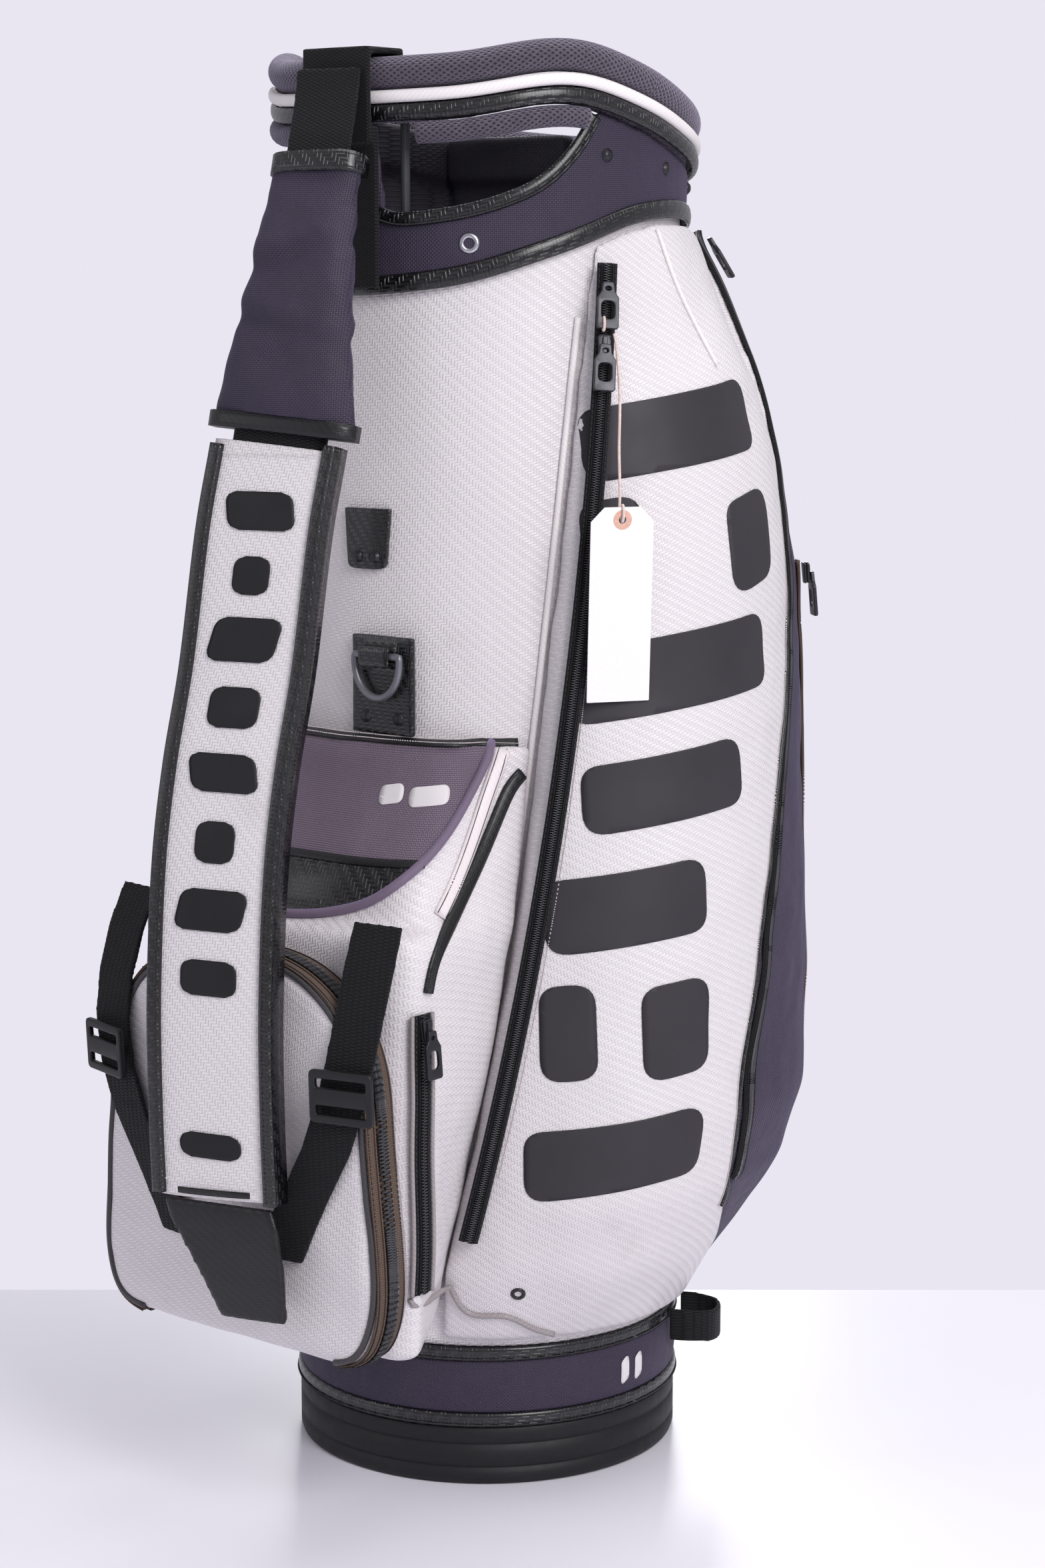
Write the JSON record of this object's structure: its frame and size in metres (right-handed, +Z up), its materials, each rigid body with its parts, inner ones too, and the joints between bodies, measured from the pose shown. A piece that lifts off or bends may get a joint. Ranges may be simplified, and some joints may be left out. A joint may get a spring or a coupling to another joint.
{
  "type": "golf bag",
  "caption": "Tall golf tour bag with a padded cuffed top, hand openings, divided tube, side, ball, chest and back pockets, zips, shoulder strap and a weighted base.",
  "frame": {"origin": "middle of the base, on the face it stands on", "axes": "+Z up along the tube, -Y to the front with the strap and ball pocket, +X to the right-hand side pocket"},
  "size_m": [0.4132, 0.4856, 0.9453],
  "materials": {
    "rubber_black": "moulded black rubber, matt, scuffed at the foot",
    "vinyl_black": "glossy black coated fabric embossed with a twill weave",
    "nylon_navy": "dark navy ballistic nylon with a purple sheen",
    "nylon_mauve": "grey mauve coarse nylon",
    "vinyl_white": "warm white coated fabric embossed with a diagonal twill",
    "mesh_grey": "dark grey spacer mesh over foam",
    "webbing_black": "black ribbed webbing",
    "liner_cloth": "dark lining cloth",
    "plastic_black": "moulded black plastic",
    "rod_black": "pultruded rod",
    "metal_grey": "satin grey",
    "metal_dark": "black enamel",
    "card_white": "plain white card",
    "string_white": "twisted cotton string"
  },
  "bodies": {
    "root": {"base_cup": "rubber_black", "base_trim_lower": "vinyl_black", "base_band": "nylon_navy", "base_trim_upper": "vinyl_black", "liner_tube": "liner_cloth", "body_skin": "vinyl_white", "stay_front_right": "rod_black", "stay_front_left": "rod_black", "stay_back": "rod_black", "cuff_skirt": "nylon_navy", "cuff_trim": "vinyl_black", "rim_frame": "plastic_black", "rim_roll": "mesh_grey", "rim_piping": "vinyl_white", "rim_binding": "vinyl_black", "grip_roll_right": "mesh_grey", "grip_roll_left": "mesh_grey", "divider_spine": "liner_cloth", "divider_front_right": "liner_cloth", "divider_front_left": "liner_cloth", "divider_rear_right": "liner_cloth", "divider_rear_left": "liner_cloth", "side_pocket_right": "vinyl_white", "side_pocket_left": "vinyl_white", "front_pod": "vinyl_white", "valuables_pocket": "nylon_mauve", "ball_pocket": "vinyl_white", "back_pocket": "nylon_navy", "back_panel": "vinyl_white", "side_zip_tape_right": "webbing_black", "side_zip_tape_left": "webbing_black", "strap_bracket": "plastic_black", "lower_web_right": "webbing_black", "lower_web_left": "webbing_black", "towel_tab": "vinyl_black", "base_handle": "webbing_black"},
    "strap": {"strap_top_web": "webbing_black", "strap_pad": "nylon_navy", "strap_panel": "vinyl_white", "strap_tab": "vinyl_black"},
    "towel_ring": {"towel_ring": "metal_grey"},
    "side_upper_pull_right": {"side_upper_pull_right": "metal_dark"},
    "side_slider_right": {"side_slider_right": "metal_dark"},
    "side_slider_pull_right": {"side_slider_pull_right": "metal_dark"},
    "rear_zip_pull_right": {"rear_zip_pull_right": "metal_dark"},
    "accessory_slider_right": {"accessory_slider_right": "metal_dark"},
    "accessory_pull_right": {"accessory_pull_right": "metal_dark"},
    "side_upper_pull_left": {"side_upper_pull_left": "metal_dark"},
    "side_slider_left": {"side_slider_left": "metal_dark"},
    "side_slider_pull_left": {"side_slider_pull_left": "metal_dark"},
    "rear_zip_pull_left": {"rear_zip_pull_left": "metal_dark"},
    "accessory_slider_left": {"accessory_slider_left": "metal_dark"},
    "accessory_pull_left": {"accessory_pull_left": "metal_dark"},
    "swing_tag": {"tag_string": "string_white", "swing_tag": "card_white"},
    "ball_slider": {"ball_slider": "metal_dark"},
    "ball_pull": {"ball_pull": "metal_dark"},
    "back_slider": {"back_slider": "metal_dark"},
    "back_pull": {"back_pull": "metal_dark"}
  },
  "joints": [
    {"name": "strap_swing", "type": "hinge", "parent": "root", "child": "strap", "pos_m": [0.002, -0.1515, 0.925], "axis": [-1, 0, 0], "range_deg": [0, 8]},
    {"name": "towel_ring_swing", "type": "hinge", "parent": "root", "child": "towel_ring", "pos_m": [0.026, -0.1402, 0.556], "axis": [-1, 0, 0], "range_deg": [0, 150]},
    {"name": "side_upper_pull_right_lift", "type": "hinge", "parent": "root", "child": "side_upper_pull_right", "pos_m": [0.14282, -0.04959, 0.79317], "axis": [-0.6605, -0.7477, 0.0687], "range_deg": [0, 100]},
    {"name": "side_slider_right_run", "type": "hinge", "parent": "root", "child": "side_slider_right", "pos_m": [-1.76173, 0.27065, 0.56356], "axis": [0.1786, 0.9722, -0.1516], "range_deg": [0, 16.75]},
    {"name": "side_slider_pull_right_lift", "type": "hinge", "parent": "side_slider_right", "child": "side_slider_pull_right", "pos_m": [0.14596, -0.05617, 0.75465], "axis": [-0.6614, -0.7459, 0.0789], "range_deg": [0, 100]},
    {"name": "rear_zip_pull_right_lift", "type": "hinge", "parent": "root", "child": "rear_zip_pull_right", "pos_m": [0.11574, 0.09541, 0.822], "axis": [0.766, -0.6428, 0], "range_deg": [0, 100]},
    {"name": "accessory_slider_right_run", "type": "slide", "parent": "root", "child": "accessory_slider_right", "axis": [0, 0, -1], "range_m": [0, 0.165]},
    {"name": "accessory_pull_right_lift", "type": "hinge", "parent": "accessory_slider_right", "child": "accessory_pull_right", "pos_m": [0.1258, -0.203, 0.335], "axis": [0, -1, 0], "range_deg": [0, 100]},
    {"name": "side_upper_pull_left_lift", "type": "hinge", "parent": "root", "child": "side_upper_pull_left", "pos_m": [-0.14282, -0.04959, 0.79317], "axis": [-0.6605, 0.7477, -0.0687], "range_deg": [0, 100]},
    {"name": "side_slider_left_run", "type": "hinge", "parent": "root", "child": "side_slider_left", "pos_m": [1.76173, 0.27065, 0.56356], "axis": [0.1786, -0.9722, 0.1516], "range_deg": [0, 16.75]},
    {"name": "side_slider_pull_left_lift", "type": "hinge", "parent": "side_slider_left", "child": "side_slider_pull_left", "pos_m": [-0.14596, -0.05617, 0.75465], "axis": [-0.6614, 0.7459, -0.0789], "range_deg": [0, 100]},
    {"name": "rear_zip_pull_left_lift", "type": "hinge", "parent": "root", "child": "rear_zip_pull_left", "pos_m": [-0.11574, 0.09541, 0.822], "axis": [0.766, 0.6428, 0], "range_deg": [0, 100]},
    {"name": "accessory_slider_left_run", "type": "slide", "parent": "root", "child": "accessory_slider_left", "axis": [0, 0, -1], "range_m": [0, 0.165]},
    {"name": "accessory_pull_left_lift", "type": "hinge", "parent": "accessory_slider_left", "child": "accessory_pull_left", "pos_m": [-0.1258, -0.203, 0.335], "axis": [0, 1, 0], "range_deg": [0, 100]},
    {"name": "tag_hang", "type": "hinge", "parent": "side_upper_pull_right", "child": "swing_tag", "pos_m": [0.1497, -0.05239, 0.76178], "axis": [-0.6605, -0.7477, 0.0687], "range_deg": [-100, 0]},
    {"name": "ball_slider_run", "type": "slide", "parent": "root", "child": "ball_slider", "axis": [-0.075, 0, -0.9972], "range_m": [0, 0.12]},
    {"name": "ball_pull_lift", "type": "hinge", "parent": "ball_slider", "child": "ball_pull", "pos_m": [-0.1188, -0.236, 0.298], "axis": [0, 1, 0], "range_deg": [0, 100]},
    {"name": "back_slider_run", "type": "slide", "parent": "root", "child": "back_slider", "axis": [0.0163, 0.0175, -0.9997], "range_m": [0, 0.35]},
    {"name": "back_pull_lift", "type": "hinge", "parent": "back_slider", "child": "back_pull", "pos_m": [0.15389, 0.16502, 0.596], "axis": [0.7547, -0.6561, 0], "range_deg": [0, 100]}
  ],
  "couplings": [
    {"joint": "tag_hang", "follows": "side_upper_pull_right_lift", "ratio": -1}
  ]
}
